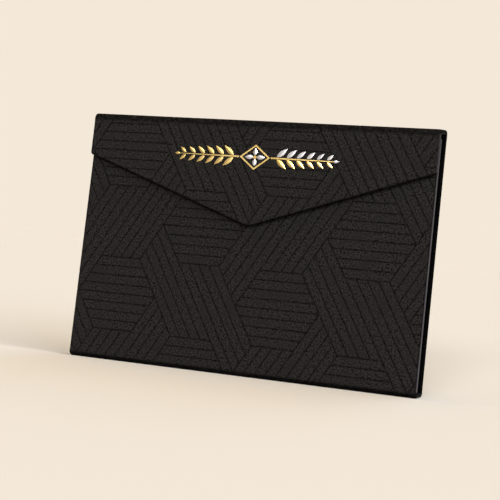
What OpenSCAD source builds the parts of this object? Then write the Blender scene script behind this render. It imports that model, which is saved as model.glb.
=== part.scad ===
// Paper card holder: a flat case for name cards, closed by a pointed flap.
// Five panels of grey board are wrapped in one embossed sheet, lined with
// thin paper and joined at the sides by folded gussets. The holder stands on
// its bottom panel, the front faces -Y and the flap opens towards -Y and up.

/* [Overall] */
// Width of the holder from side to side
holder_w = 105; // [90:0.5:130]
// Height of the front fold, where the flap begins
front_fold_h = 74; // [60:0.5:100]
// How much higher the back fold stands than the front fold
fold_rise = 2; // [0:0.25:3]
// Depth of the body from its front face to its back face
body_d = 11.5; // [10:0.5:20]

/* [Flap] */
// Distance from the front fold down to the flap's side corners
flap_side_drop = 13; // [8:0.5:18]
// Distance from the front fold down to the flap's tip
flap_tip_drop = 31; // [24:0.5:45]
// Radius of the flap's tip
flap_tip_r = 5.5; // [3:0.5:10]
// Gap between the closed flap and the front face
flap_gap = 0.3; // [0.2:0.05:1]

/* [Papers and boards] */
// Thickness of the embossed outer paper
cover_t = 0.3; // [0.2:0.05:0.4]
// Thickness of the grey board in each panel
board_t = 0.8; // [0.6:0.1:1.4]
// Thickness of the lining paper
liner_t = 0.2; // [0.1:0.05:0.4]
// Outer radius of the folds between the panels
fold_r = 1.6; // [1.4:0.1:2.2]
// Radius of the free corners of the front panel and the flap
corner_r = 1; // [1:0.1:2]
// Width of the outer paper turned in behind a board's edge
turn_in_w = 9; // [6:0.5:12]
// Distance from a turned edge to the edge of the lining
liner_margin = 2; // [1:0.25:4]

/* [Side gussets] */
// Thickness of the gusset paper
gusset_t = 0.25; // [0.15:0.05:0.4]
// Distance from the holder's side edge to the gusset's outer folds
gusset_recess = 1.5; // [1:0.25:3]
// Depth of the gusset's middle fold, measured inwards
gusset_fold_in = 4; // [2:0.25:6]
// Width of the tabs that glue a gusset to the front and back panels
gusset_tab_w = 7; // [4:0.5:10]
// Gap between the bottom lining and the gusset's lower edge
gusset_foot_gap = 0.8; // [0.2:0.1:3]
// Distance from the front panel's top edge down to the gusset's top edge
gusset_top_gap = 1.2; // [0.5:0.1:4]

/* [Closure] */
// Diameter of the magnet in the flap and of the steel disc behind it
disc_d = 8; // [5:0.5:12]
// Distance from the flap's tip up to the centre of the discs
disc_up = 9; // [7:0.5:14]
// Side clearance between a disc and its hole in the board
disc_clear = 0.1; // [0.05:0.05:0.3]

/* [Clearances] */
// Clearance between a fold that turns and the end of the next panel
fold_clear = 0.15; // [0.1:0.05:0.3]
// Clearance between the front panel's top edge and the lining above it
lid_clear = 0.4; // [0.3:0.05:1]
// Gap between a board's end and the start of the fold beside it
board_end_gap = 0.3; // [0.1:0.05:1]

/* [Hidden] */

// A panel without its lining is the board with outer paper on both sides.
core_t = cover_t + board_t + cover_t;
panel_t = core_t + liner_t;
total_d = body_d + flap_gap + panel_t;

// Outer faces of the upright panels, along Y
flap_y = -total_d / 2;
front_y = flap_y + panel_t + flap_gap;
back_y = total_d / 2;
// Lined inner faces of the front and back panels, along Y
front_inner_y = front_y + panel_t;
back_inner_y = back_y - panel_t;

// Axes of the two folds that turn, as Y and Z
back_fold_h = front_fold_h + fold_rise;
front_axis = [flap_y + fold_r, front_fold_h - fold_r];
back_axis = [back_y - fold_r, back_fold_h - fold_r];
spine_run = norm(back_axis - front_axis);
spine_tilt = atan2(back_axis[1] - front_axis[1], back_axis[0] - front_axis[0]);

// The front panel's top edge stays below the lining of the spine.
spine_under_h = front_axis[1] + (front_y - front_axis[0]) * tan(spine_tilt)
    + (fold_r - panel_t) / cos(spine_tilt);
front_top = spine_under_h - lid_clear;

// Flap heights above the table
flap_side_h = front_fold_h - flap_side_drop;
flap_tip_h = front_fold_h - flap_tip_drop;
disc_h = flap_tip_h + disc_up;

// The paper of a turning fold laps this far past the face it meets.
fold_lap_angle = 25;
// Cuts and the hidden ends of a panel run past its faces by this much.
overrun = 2 * panel_t;

// Facets of small corners, of the flap's tip and of a panel's rounded edge
corner_facets = 16;
tip_facets = 96;
edge_facets = 16;
// Facets of folds and discs
fold_facets = 64;
disc_facets = 64;

cover_colour = [0.15, 0.15, 0.16];
board_colour = [0.55, 0.53, 0.5];
liner_colour = [0.1, 0.1, 0.11];
gusset_colour = [0.07, 0.06, 0.06];
steel_colour = [0.7, 0.7, 0.72];

// Unit vector, and the vector turned a quarter turn to the left
function unit(v) = v / norm(v);
function left_of(v) = [-v[1], v[0]];

// Sideways step at point i of a path that keeps both runs of a sheet parallel
function mitre(path, i) =
    i == 0 ? left_of(unit(path[1] - path[0])) :
    i == len(path) - 1 ? left_of(unit(path[i] - path[i - 1])) :
    let (
        before = left_of(unit(path[i] - path[i - 1])),
        after = left_of(unit(path[i + 1] - path[i]))
    )
    (before + after) / (1 + before * after);

// Outline of a folded sheet of thickness t along a path
function sheet_outline(path, t) = concat(
    [for (i = [0 : len(path) - 1]) path[i] + mitre(path, i) * t / 2],
    [for (i = [len(path) - 1 : -1 : 0]) path[i] - mitre(path, i) * t / 2]
);

// A panel is drawn flat: X across, Y up the panel, Z out of its outer face,
// with the outer face at Z = 0. These modules put it in its place.
module at_front() {
    translate([0, front_y, 0])
        rotate([90, 0, 0])
            children();
}

module at_flap() {
    translate([0, flap_y, 0])
        rotate([90, 0, 0])
            children();
}

module at_back() {
    translate([0, back_y, 0])
        rotate([90, 0, 180])
            children();
}

module at_bottom() {
    rotate([180, 0, 0])
        children();
}

module at_spine() {
    translate([0, front_axis[0], front_axis[1]])
        rotate([spine_tilt, 0, 0])
            translate([0, 0, fold_r])
                children();
}

// Flat plate with fully rounded edges. Each corner is [x, y, radius, facets].
// inset 0 is the outside of the wrapped panel, inset cover_t is its board.
module rounded_plate(corners, inset) {
    translate([0, 0, -core_t / 2])
        hull()
            for (c = corners)
                translate([c[0], c[1], 0])
                    rotate_extrude($fn = c[3])
                        rim_section(c[2], inset);
}

// Half section of a round plate with a fully rounded rim
module rim_section(radius, inset) {
    intersection() {
        translate([radius - core_t / 2, 0])
            circle(d = core_t - 2 * inset, $fn = edge_facets);
        translate([0, -core_t])
            square([radius, 2 * core_t]);
    }
}

// Slab across the whole width between two heights of a flat panel
module band(y_from, y_to) {
    translate([-holder_w / 2 - overrun, y_from, -overrun])
        cube([holder_w + 2 * overrun, y_to - y_from, 2 * overrun]);
}

// Part of a plate between two heights of a flat panel
module plate_between(corners, inset, y_from, y_to) {
    intersection() {
        rounded_plate(corners, inset);
        band(y_from, y_to);
    }
}

// Outer paper of a flat panel: the plate without its board, open at the back
// inside the turned-in edges
module wrap_between(corners, y_from, y_to) {
    difference() {
        plate_between(corners, 0, y_from, y_to);
        rounded_plate(corners, cover_t);
        translate([0, 0, -core_t - overrun])
            linear_extrude(overrun + cover_t * 3 / 2)
                children();
    }
}

// Lining of a flat panel. It lies on the turned-in edges and dips on to the
// board inside them. Its children are its outline, the window between the
// turned-in edges, and the dip, which is the window less the lining's own wall.
module lining() {
    difference() {
        union() {
            translate([0, 0, -panel_t])
                linear_extrude(liner_t)
                    children(0);
            translate([0, 0, -panel_t])
                linear_extrude(liner_t + cover_t)
                    children(1);
        }
        translate([0, 0, -panel_t - overrun])
            linear_extrude(overrun + cover_t)
                children(2);
    }
}

// Rectangle between two heights, its sides a given distance inside the holder's
module strip(side_inset, y_from, y_to) {
    translate([side_inset - holder_w / 2, y_from])
        square([holder_w - 2 * side_inset, y_to - y_from]);
}

// Outer paper round a fold, about the X axis, from straight up to an angle
// towards +Y. The turned-in ends are two layers thick.
module fold_paper(angle) {
    rotate([0, -90, 0])
        rotate_extrude(angle = angle, $fn = fold_facets)
            fold_section();
}

module fold_section() {
    translate([fold_r - cover_t, -holder_w / 2])
        square([cover_t, holder_w]);
    for (side = [0, 1])
        mirror([0, side])
            translate([fold_r - 2 * cover_t, holder_w / 2 - turn_in_w])
                square([cover_t, turn_in_w]);
}

// Room for a fold to turn in, about a fold axis
module fold_room(axis) {
    translate([-holder_w / 2 - overrun, axis[0], axis[1]])
        rotate([0, 90, 0])
            cylinder(h = holder_w + 2 * overrun, r = fold_r + fold_clear, $fn = fold_facets);
}

// Corners of the panels, seen flat. The ends at a fold run past it.
side_x = holder_w / 2 - corner_r;
front_corners = [
    for (x = [-side_x, side_x])
        for (y = [0, front_top - corner_r])
            [x, y, corner_r, corner_facets]
];
back_corners = [
    for (x = [-side_x, side_x])
        for (y = [0, back_fold_h])
            [x, y, corner_r, corner_facets]
];
flap_corners = [
    for (x = [-side_x, side_x])
        for (y = [flap_side_h + corner_r, front_fold_h])
            [x, y, corner_r, corner_facets],
    [0, flap_tip_h + flap_tip_r, flap_tip_r, tip_facets]
];
// The bottom panel is drawn from its back end to its front end.
bottom_from = fold_r - back_y;
bottom_to = -front_y - fold_r;
bottom_corners = [
    for (x = [-side_x, side_x])
        for (y = [bottom_from - fold_r, bottom_to + fold_r])
            [x, y, corner_r, corner_facets]
];
spine_corners = [
    for (x = [-side_x, side_x])
        for (y = [-fold_r, spine_run + fold_r])
            [x, y, corner_r, corner_facets]
];

// Slope of the flap's lower edges, which touch the rounds at tip and side
tip_to_side = [side_x, flap_side_h + corner_r - flap_tip_h - flap_tip_r];
flap_slope = atan2(tip_to_side[1], tip_to_side[0])
    + asin((flap_tip_r - corner_r) / norm(tip_to_side));

// The flap's outline moved inwards, with a sharp tip, up to a given height
module flap_field(inset, top) {
    side = holder_w / 2 - inset;
    apex = flap_tip_h + flap_tip_r - (flap_tip_r - inset) / cos(flap_slope);
    shoulder = apex + side * tan(flap_slope);
    polygon([[-side, top], [-side, shoulder], [0, apex], [side, shoulder], [side, top]]);
}

// Hole for a disc through a board, and the disc that fills it
module disc_hole() {
    translate([0, disc_h, -core_t])
        cylinder(h = core_t, d = disc_d + 2 * disc_clear, $fn = disc_facets);
}

module disc() {
    translate([0, disc_h, -cover_t - board_t])
        cylinder(h = board_t, d = disc_d, $fn = disc_facets);
}

// Front panel: its top edge is turned in as well as its sides.
module front_board() {
    color(board_colour)
        at_front()
            difference() {
                plate_between(front_corners, cover_t, fold_r + board_end_gap, front_top);
                disc_hole();
            }
}

module front_cover() {
    color(cover_colour)
        at_front()
            wrap_between(front_corners, fold_r, front_top + overrun)
                strip(turn_in_w, 0, front_top - turn_in_w);
}

module front_liner() {
    color(liner_colour)
        at_front()
            lining() {
                strip(liner_margin, panel_t, front_top - liner_margin);
                strip(turn_in_w, panel_t, front_top - turn_in_w);
                strip(turn_in_w + liner_t, 0, front_top - turn_in_w - liner_t);
            }
}

module front_steel_disc() {
    color(steel_colour)
        at_front()
            disc();
}

// Bottom panel, with the two folds that join it to the front and the back
module bottom_board() {
    color(board_colour)
        at_bottom()
            plate_between(
                bottom_corners, cover_t, bottom_from + board_end_gap, bottom_to - board_end_gap
            );
}

module bottom_cover() {
    color(cover_colour) {
        at_bottom()
            wrap_between(bottom_corners, bottom_from, bottom_to)
                strip(turn_in_w, bottom_from - overrun, bottom_to + overrun);
        translate([0, front_y + fold_r, fold_r])
            mirror([0, 1, 0])
                mirror([0, 0, 1])
                    fold_paper(90);
        translate([0, back_y - fold_r, fold_r])
            mirror([0, 0, 1])
                fold_paper(90);
    }
}

module bottom_liner() {
    color(liner_colour)
        at_bottom()
            lining() {
                strip(liner_margin, -back_inner_y, -front_inner_y);
                strip(turn_in_w, -back_inner_y, -front_inner_y);
                strip(turn_in_w + liner_t, -back_inner_y - overrun, overrun - front_inner_y);
            }
}

// Back panel: its upper end makes room for the fold that turns there.
module back_board() {
    color(board_colour)
        difference() {
            at_back()
                plate_between(back_corners, cover_t, fold_r + board_end_gap, back_axis[1]);
            fold_room(back_axis);
        }
}

module back_cover() {
    color(cover_colour)
        difference() {
            at_back()
                wrap_between(back_corners, fold_r, back_axis[1])
                    strip(turn_in_w, 0, back_fold_h);
            fold_room(back_axis);
        }
}

module back_liner() {
    color(liner_colour)
        difference() {
            at_back()
                lining() {
                    strip(liner_margin, panel_t, back_axis[1]);
                    strip(turn_in_w, panel_t, back_axis[1]);
                    strip(turn_in_w + liner_t, 0, back_fold_h);
                }
            fold_room(back_axis);
        }
}

// Side gussets: one folded strip of paper each, with a tab on either panel
gusset_x = holder_w / 2 - gusset_recess;
gusset_middle_y = (front_inner_y + back_inner_y) / 2;
gusset_front_y = front_inner_y + gusset_t / 2;
gusset_back_y = back_inner_y - gusset_t / 2;
gusset_path = [
    [gusset_x - gusset_tab_w, gusset_front_y],
    [gusset_x, gusset_front_y],
    [gusset_x - gusset_fold_in, gusset_middle_y],
    [gusset_x, gusset_back_y],
    [gusset_x - gusset_tab_w, gusset_back_y]
];
gusset_foot = panel_t + gusset_foot_gap;
gusset_top = front_top - gusset_top_gap;

module gusset() {
    translate([0, 0, gusset_foot])
        linear_extrude(gusset_top - gusset_foot)
            polygon(sheet_outline(gusset_path, gusset_t));
}

module left_gusset() {
    color(gusset_colour)
        mirror([1, 0, 0])
            gusset();
}

module right_gusset() {
    color(gusset_colour)
        gusset();
}

// Spine: the narrow panel over the top, with the folds that turn at its ends
module spine_board() {
    color(board_colour)
        at_spine()
            plate_between(spine_corners, cover_t, board_end_gap, spine_run - board_end_gap);
}

module spine_cover() {
    color(cover_colour)
        at_spine() {
            wrap_between(spine_corners, 0, spine_run)
                strip(turn_in_w, -overrun, spine_run + overrun);
            translate([0, 0, -fold_r])
                mirror([0, 1, 0])
                    fold_paper(90 - spine_tilt + fold_lap_angle);
            translate([0, spine_run, -fold_r])
                fold_paper(90 + spine_tilt + fold_lap_angle);
        }
}

module spine_liner() {
    color(liner_colour)
        at_spine()
            lining() {
                strip(liner_margin, board_end_gap, spine_run - board_end_gap);
                strip(turn_in_w, board_end_gap, spine_run - board_end_gap);
                strip(turn_in_w + liner_t, -overrun, spine_run + overrun);
            }
}

// Flap: turned in along its sides and its pointed lower edge
module flap_board() {
    color(board_colour)
        difference() {
            at_flap()
                difference() {
                    plate_between(flap_corners, cover_t, 0, front_axis[1]);
                    disc_hole();
                }
            fold_room(front_axis);
        }
}

module flap_cover() {
    color(cover_colour)
        difference() {
            at_flap()
                wrap_between(flap_corners, 0, front_axis[1])
                    flap_field(turn_in_w, front_fold_h);
            fold_room(front_axis);
        }
}

module flap_liner() {
    color(liner_colour)
        difference() {
            at_flap()
                lining() {
                    flap_field(liner_margin, front_axis[1]);
                    flap_field(turn_in_w, front_axis[1]);
                    flap_field(turn_in_w + liner_t, front_fold_h);
                }
            fold_room(front_axis);
        }
}

module flap_magnet() {
    color(steel_colour)
        at_flap()
            disc();
}

front_board();
front_cover();
front_liner();
front_steel_disc();
bottom_board();
bottom_cover();
bottom_liner();
back_board();
back_cover();
back_liner();
left_gusset();
right_gusset();
spine_board();
spine_cover();
spine_liner();
flap_board();
flap_cover();
flap_liner();
flap_magnet();
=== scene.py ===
"""Looks of the paper card holder.

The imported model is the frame. One sheet of embossed paper wraps every board, so
its outer face is worked out flat, as x across and s along the sheet, and then
laid on the flap, over the spine, down the back, under the bottom and up the front.
Lengths are in millimetres and become metres in the meshes.
"""

import math

import bmesh
import bpy
import numpy as np
from mathutils import Matrix, Vector
from mathutils.geometry import delaunay_2d_cdt


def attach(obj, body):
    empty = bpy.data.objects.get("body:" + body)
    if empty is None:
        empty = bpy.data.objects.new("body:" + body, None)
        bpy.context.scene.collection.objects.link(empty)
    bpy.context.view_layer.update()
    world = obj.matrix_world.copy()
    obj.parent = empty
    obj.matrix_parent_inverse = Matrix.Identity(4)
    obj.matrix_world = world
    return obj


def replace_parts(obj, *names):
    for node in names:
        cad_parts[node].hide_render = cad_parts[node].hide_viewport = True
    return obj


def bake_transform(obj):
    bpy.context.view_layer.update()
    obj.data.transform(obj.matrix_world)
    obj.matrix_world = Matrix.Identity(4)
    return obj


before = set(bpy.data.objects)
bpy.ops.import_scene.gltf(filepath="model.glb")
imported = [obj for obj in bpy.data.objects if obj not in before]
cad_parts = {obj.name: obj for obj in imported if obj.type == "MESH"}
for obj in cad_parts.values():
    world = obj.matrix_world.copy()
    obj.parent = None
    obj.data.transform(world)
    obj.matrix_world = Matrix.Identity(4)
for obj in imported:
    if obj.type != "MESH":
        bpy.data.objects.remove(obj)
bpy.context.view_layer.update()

MM = 0.001

# Holder, as in the part's source
HALF_W = 52.5
FOLD_R = 1.6
PAPER_T, LINER_T = 0.3, 0.2
PANEL_CORE, PANEL_T = 1.4, 1.6
TURN_IN = 9.0
LINER_MARGIN = 2
CORNER_R = 1.0
FLAP_Y, FRONT_Y, BACK_Y = -6.7, -4.8, 6.7
FRONT_FOLD = (-5.1, 72.4)
BACK_FOLD = (5.1, 74.4)
FRONT_TOP = 72.061
FLAP_SIDE_H, FLAP_TIP_H, FLAP_TIP_R = 61.0, 43.0, 5.5

# Rounded edge of a wrapped panel: its reach beyond the flat face, and its thickness
# at a fold, where the turned paper and the lining meet without a board
RIM = PANEL_CORE / 2
FLAT_X = HALF_W - RIM
FOLD_T = 1.05
FLANGE = TURN_IN - RIM


def smooth(t):
    """0 up to t = 0, 1 from t = 1 on, and a smooth slope between."""
    t = np.clip(t, 0, 1)
    return t * t * (3 - 2 * t)


def slope(value, low, high):
    """0 up to low, 1 from high on, and a smooth slope between."""
    return smooth((value - low) / (high - low))


def unit(v):
    return v / np.linalg.norm(v)


# The sheet seen from the side


def ways(heading):
    """Unit vectors ahead and to the left of a heading, in (y, z)."""
    ahead = np.array([math.cos(heading), math.sin(heading)])
    return ahead, np.array([-ahead[1], ahead[0]])


def sheet_path():
    """Sections of the outer face in (y, z): start of s, length, point, heading and turn.
    The path goes up the flap and always turns right, so the outside is on its left."""
    tilt = math.atan2(BACK_FOLD[1] - FRONT_FOLD[1], BACK_FOLD[0] - FRONT_FOLD[0])
    quarter = math.pi / 2
    moves = [
        (FRONT_FOLD[1] - FLAP_TIP_H, 0),
        (0, quarter - tilt),
        (math.dist(FRONT_FOLD, BACK_FOLD), 0),
        (0, quarter + tilt),
        (BACK_FOLD[1] - FOLD_R, 0),
        (0, quarter),
        (BACK_Y - FRONT_Y - 2 * FOLD_R, 0),
        (0, quarter),
        (FRONT_TOP - FOLD_R, 0),
    ]
    sections, s = [], 0.0
    point, heading = np.array([FLAP_Y, FLAP_TIP_H]), quarter
    for length, turn in moves:
        length = length or turn * FOLD_R
        sections.append((s, length, point, heading, turn))
        ahead, left = ways(heading)
        if turn:
            centre = point - left * FOLD_R
            heading -= turn
            point = centre + ways(heading)[1] * FOLD_R
        else:
            point = point + ahead * length
        s += length
    return sections


SECTIONS = sheet_path()
FLAP_S, FOLD1_S, SPINE_S, FOLD2_S, BACK_S, FOLD3_S, *_, FRONT_S = (part[0] for part in SECTIONS)
END_S = FRONT_S + SECTIONS[-1][1]

# The sections that are folds, from the front over the top and round the bottom
FRONT_FOLD_AT, BACK_FOLD_AT, BOTTOM_BACK_AT, BOTTOM_FRONT_AT = FOLDS = (1, 3, 5, 7)

# The paper turns with a fold over a length to either side of it, which leaves room for
# the panels when they open past straight
FRONT_REACH, BACK_REACH = 2.0, 3.0
FLAP_END, SPINE_LOW = FOLD1_S - FRONT_REACH, SPINE_S + FRONT_REACH
SPINE_HIGH, BACK_LOW = FOLD2_S - BACK_REACH, BACK_S + BACK_REACH

# A place this near a section's end belongs to the next one.
SECTION_SLACK = 1e-9


def fold_ends(fold):
    start, length = SECTIONS[fold][:2]
    return start, start + length


def on_sheet(x, s, depth):
    """Points in space, in metres, for x and s on the sheet and a depth under its face."""
    x, s, depth = np.broadcast_arrays(x, s, depth)
    out = np.zeros((len(x), 3))
    starts = [part[0] for part in SECTIONS[1:]]
    which = np.searchsorted(starts, s + SECTION_SLACK, side="right")
    for k, (at, _, point, heading, turn) in enumerate(SECTIONS):
        m = which == k
        ahead, left = ways(heading)
        if turn:
            a = heading + math.pi / 2 - (s[m] - at) / FOLD_R
            out[m, 1:] = (point - left * FOLD_R) + (
                (FOLD_R - depth[m])[:, None] * np.stack([np.cos(a), np.sin(a)], 1)
            )
        else:
            out[m, 1:] = point + (s[m] - at)[:, None] * ahead - depth[m][:, None] * left
    out[:, 0] = x
    return out * MM


# What changes along each fold: its share, the slope on which it comes, measured from the
# fold's start, and the one on which it goes, from the fold's end. The wrapped edge gets
# thinner there; flap and back end farther from their folds than the spine does.
FOLD_THINNING = {
    FRONT_FOLD_AT: (1, (-1.7, -0.2), (-0.7, 0.3)),
    BACK_FOLD_AT: (1, (-0.3, 0.7), (0.2, 1.7)),
    BOTTOM_BACK_AT: (1, (-0.3, 0.7), (-0.7, 0.3)),
    BOTTOM_FRONT_AT: (1, (-0.3, 0.7), (-0.7, 0.3)),
}
# The paper is also painted darker there, as painted shade on the folds.
FOLD_PAINTED_SHADES = {
    FRONT_FOLD_AT: (0.60, (-1.0, 0), (0, 0.3)),
    BACK_FOLD_AT: (0.60, (-0.6, 0), (0, 0.3)),
    BOTTOM_BACK_AT: (0.85, (-0.6, 0), (0, 0.3)),
    BOTTOM_FRONT_AT: (0.90, (-0.6, 0), (-0.9, 0.2)),
}


def fold_share(s, table):
    """What a table gives for places along the sheet, 0 off the folds."""
    total = 0.0
    for fold, (share, come, go) in table.items():
        start, end = fold_ends(fold)
        here = slope(s, start + come[0], start + come[1])
        total = total + share * here * (1 - slope(s, end + go[0], end + go[1]))
    return total


def wrap_thickness(s):
    """Thickness over the turned-in edge: the whole panel, or only paper at a fold."""
    return PANEL_CORE + (FOLD_T - PANEL_CORE) * fold_share(s, FOLD_THINNING)


# Painted highlight on the side edges, whose outward direction is nearly level: the front panel
# and the flap get it, the front panel most.
FRONT_HIGHLIGHT, FLAP_HIGHLIGHT = 1.0, 0.45
SIDE_EDGE = (0.8, 1.0)

# Angles round a turned edge, in radians, at which its painted highlight and painted shades set in over
# a short turn
TONE_TURN = 0.3
HIGHLIGHT_FROM, EDGE_LINE_TO = 0.55, 0.4
HIGHLIGHT_TO_FRONT, HIGHLIGHT_TO_FLAP = 1.75, 1.2
FAR_SIDE_GAP = 0.05
EDGE_LINE_SHADE = 0.95
PLAIN_PAINTED_SHADES = ((0.8, 0.2), (0.2, 0.9))  # share, and the angle where it sets in


def side_highlight_share(normals, s):
    panels = np.where(s > FRONT_S, FRONT_HIGHLIGHT, np.where(s < FOLD1_S, FLAP_HIGHLIGHT, 0.0))
    return slope(np.abs(normals[:, 0]), *SIDE_EDGE) * panels


def edge_tones(a, highlight_share, front):
    """Painted highlight and painted shade shares at an angle round a turned edge. A highlighted
    edge has a painted dark line where it starts to turn, then the painted highlight; its far
    side stays painted dark. One highlighted by less than half gets some of a plain edge's even
    painted shade."""

    def past(angle):
        return smooth((a - angle) / TONE_TURN)

    end = np.where(front, HIGHLIGHT_TO_FRONT, HIGHLIGHT_TO_FLAP)
    edge_line_shade = EDGE_LINE_SHADE * highlight_share * past(0) * (1 - past(EDGE_LINE_TO))
    plain = sum(share * past(start) for share, start in PLAIN_PAINTED_SHADES)
    plain = plain * (1 - np.minimum(1, 2 * highlight_share))
    # Painted shade: the dark line where the edge turns, the plain edges and the far side
    pressed = np.maximum(np.maximum(edge_line_shade, plain), past(end + FAR_SIDE_GAP))
    return highlight_share * past(HIGHLIGHT_FROM) * (1 - past(end)), pressed


# Cuts across the sheet at each fold: their number on it, and their distances from it
FOLD_CUTS = 11
CUTS_BESIDE_FOLD = (0.3, 0.6, 0.9, 1.2, 1.5, 1.8, 2.2, 2.6)
CUT_END_GAP = 1e-3


def fold_cuts(low, high):
    """Lines across the sheet where it bends or its edge changes thickness."""
    places = set()
    for fold in FOLDS:
        start, end = fold_ends(fold)
        places.update(start + (end - start) * t for t in np.linspace(0, 1, FOLD_CUTS))
        for d in CUTS_BESIDE_FOLD:
            places.update((start - d, end + d))
    places = {round(s, 4) for s in places if low + CUT_END_GAP < s < high - CUT_END_GAP}
    return [((-HALF_W, s), (HALF_W, s)) for s in sorted(places)]


# Embossed pattern: side of a hexagon, the middle of one of them on the front, and how
# far the flap's pattern is moved from where the front's would be
HEX = 12.521
HEX_X, HEX_Z = -39.255, 19.915
FLAP_SHIFT = (0.353, -0.365)

# In sides of a hexagon: height of a row of tiles, distance between the hexagons of a
# row, and side and row height of the fine triangular grid that the grooves follow
ROW = math.sqrt(3)
HEX_STEP = 4
GRID = 0.25
GRID_ROW = ROW / 8

# Sides of the fine grid by the way they run (0 level, 1 rising, 2 falling): how far they
# go across, and how many rows up
GRID_SIDES = {0: (GRID, 0), 1: (GRID / 2, 1), 2: (-GRID / 2, 1)}
# Steps from the middle of such a side into the triangle beside it
BESIDE = {0: (0, 0.3), 1: (-0.06, 0.1), 2: (0.06, 0.1)}

# Grooves: their depth, how dark they are pressed and painted with the shade in them, the
# distances from their middle line at which the sheet is cut, and half the width of their floor
GROOVE_DEPTH = 0.09
GROOVE_SHADE = 0.66
GROOVE_LINES = (0.09, 0.20, 0.31)
GROOVE_FLOOR = GROOVE_LINES[0] * 0.6
# The pattern ends over this length before the fold at the back, where two runs meet.
PATTERN_END = 1.2
PATTERN_MARGIN = 1
SAME_POINT = 1e-6


def centred(u):
    """How far a place lies from the middle of the nearest step of the tiles."""
    return (u + HEX_STEP / 2) % HEX_STEP - HEX_STEP / 2


def tile_kind(u, v):
    """Way that the stripes run at a point and the tile they belong to. Every other row
    of tiles is moved by half a step and has its slanting stripes the other way round."""
    row = math.floor(v / ROW + 0.5)
    up = v - row * ROW
    even = row % 2 == 0
    across = u if even else u - HEX_STEP / 2
    if abs(centred(across)) <= 1 - abs(up) / ROW:
        return 0, "hexagon"
    lean = -1 if even else 1
    if abs(centred(across - HEX_STEP / 2) - lean * up / ROW) <= 1:
        return (2 if even else 1), "parallelogram"
    return (1 if even else 2), "triangle"


def is_groove(way, u, v):
    """Whether the side of the fine grid about a middle point is pressed in: it runs
    along the stripes beside it, or parts two tiles. Level ones part only hexagons."""
    du, rows = BESIDE[way]
    (way_a, tile_a), (way_b, tile_b) = (
        tile_kind(u + k * du, v + k * rows * GRID_ROW) for k in (1, -1)
    )
    if way in (way_a, way_b):
        return True
    return tile_a != tile_b and (way != 0 or "hexagon" in (tile_a, tile_b))


def joined(parts):
    """Parts of one line put end to end, as runs from gap to gap."""
    parts = sorted(parts, key=lambda p: (p[1], p[0]))
    runs = [parts[0]]
    for p in parts[1:]:
        if math.dist(p[:2], runs[-1][2:]) < SAME_POINT:
            runs[-1] = runs[-1][:2] + p[2:]
        else:
            runs.append(p)
    return runs


def groove_runs(z_low, z_high, dx, dz):
    """Grooves over a height of the pattern, moved on to the sheet, as (x0, s0, x1, s1)."""
    u_low, u_high = (-HALF_W - HEX_X) / HEX - 0.5, (HALF_W - HEX_X) / HEX + 0.5
    row_low = math.floor((z_low - HEX_Z) / HEX / GRID_ROW) - 1
    row_high = math.ceil((z_high - HEX_Z) / HEX / GRID_ROW) + 1
    lines = {}
    for row in range(row_low, row_high + 1):
        shift, v = GRID / 2 * (row % 2), row * GRID_ROW
        first, last = math.floor((u_low - shift) / GRID), math.ceil((u_high - shift) / GRID)
        for n in range(first, last + 1):
            u = n * GRID + shift
            for way, (du, rows) in GRID_SIDES.items():
                dv = rows * GRID_ROW
                if is_groove(way, u + du / 2, v + dv / 2):
                    place = row if way == 0 else round((u - du * row) / (GRID / 2))
                    lines.setdefault((way, place), []).append((u, v, u + du, v + dv))
    x, s = HEX_X + dx, HEX_Z + dz
    return [
        (x + a * HEX, s + b * HEX, x + c * HEX, s + d * HEX)
        for parts in lines.values()
        for a, b, c, d in joined(parts)
    ]


def clip_runs(runs, low, high):
    """Parts of the grooves between two places along the sheet."""
    out = []
    for a, b, c, d in runs:
        if max(b, d) > low and min(b, d) < high:
            lean = (c - a) / (d - b) if b != d else 0.0
            start, end = np.clip((b, d), low, high)
            out.append((a + lean * (start - b), start, c + lean * (end - d), end))
    return out


def groove_share(points, runs):
    """How deep each point lies in the pattern, from 0 on the face to 1 on a groove's
    floor. The pattern stops short of the fold at the back."""
    runs = np.array(runs)
    a, b = runs[:, :2], runs[:, 2:]
    along = b - a
    t = ((points[:, None] - a) * along).sum(2) / (along**2).sum(1)
    gap = np.linalg.norm(points[:, None] - a - np.clip(t, 0, 1)[..., None] * along, axis=2)
    share = 1 - slope(gap.min(1), GROOVE_FLOOR, GROOVE_LINES[-1])
    s = points[:, 1]
    return share * (smooth((FOLD2_S - s) / PATTERN_END) + smooth((s - BACK_S) / PATTERN_END))


def groove_cuts(runs, low, high):
    """Lines to cut the sheet along, beside each groove."""
    cuts = []
    for a, b, c, d in runs:
        beside = max(a, c) < -HALF_W or min(a, c) > HALF_W
        if beside or max(b, d) < low - PATTERN_MARGIN or min(b, d) > high + PATTERN_MARGIN:
            continue
        nx, ny = unit(np.array((b - d, c - a)))
        for off in GROOVE_LINES:
            for side in (off, -off):
                cuts.append(((a + nx * side, b + ny * side), (c + nx * side, d + ny * side)))
    return cuts


# Outlines on the flat sheet. A rim is a run of places along the flat face's edge, with
# the outward directions there.

CORNER_POINTS, TIP_POINTS = 7, 17


def flap_slope():
    """Slope of the flap's lower edges, which touch the rounds at its tip and sides."""
    to_side = (HALF_W - CORNER_R, FLAP_SIDE_H + CORNER_R - FLAP_TIP_H - FLAP_TIP_R)
    return math.atan2(to_side[1], to_side[0]) + math.asin(
        (FLAP_TIP_R - CORNER_R) / math.hypot(*to_side)
    )


def arc(centre, radius, start, end, count):
    """Points on an arc and the outward directions there, in degrees."""
    out = []
    for a in np.radians(np.linspace(start, end, count)):
        n = (math.cos(a), math.sin(a))
        out.append((centre[0] + radius * n[0], centre[1] + radius * n[1], *n))
    return out


def rectangle(low, high, half=FLAT_X):
    return [(-half, low), (half, low), (half, high), (-half, high)]


def side_rims(low, high):
    """Right and left edges of a plain length of the sheet."""
    return [
        [(FLAT_X, low, 1, 0), (FLAT_X, high, 1, 0)],
        [(-FLAT_X, high, -1, 0), (-FLAT_X, low, -1, 0)],
    ]


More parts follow.
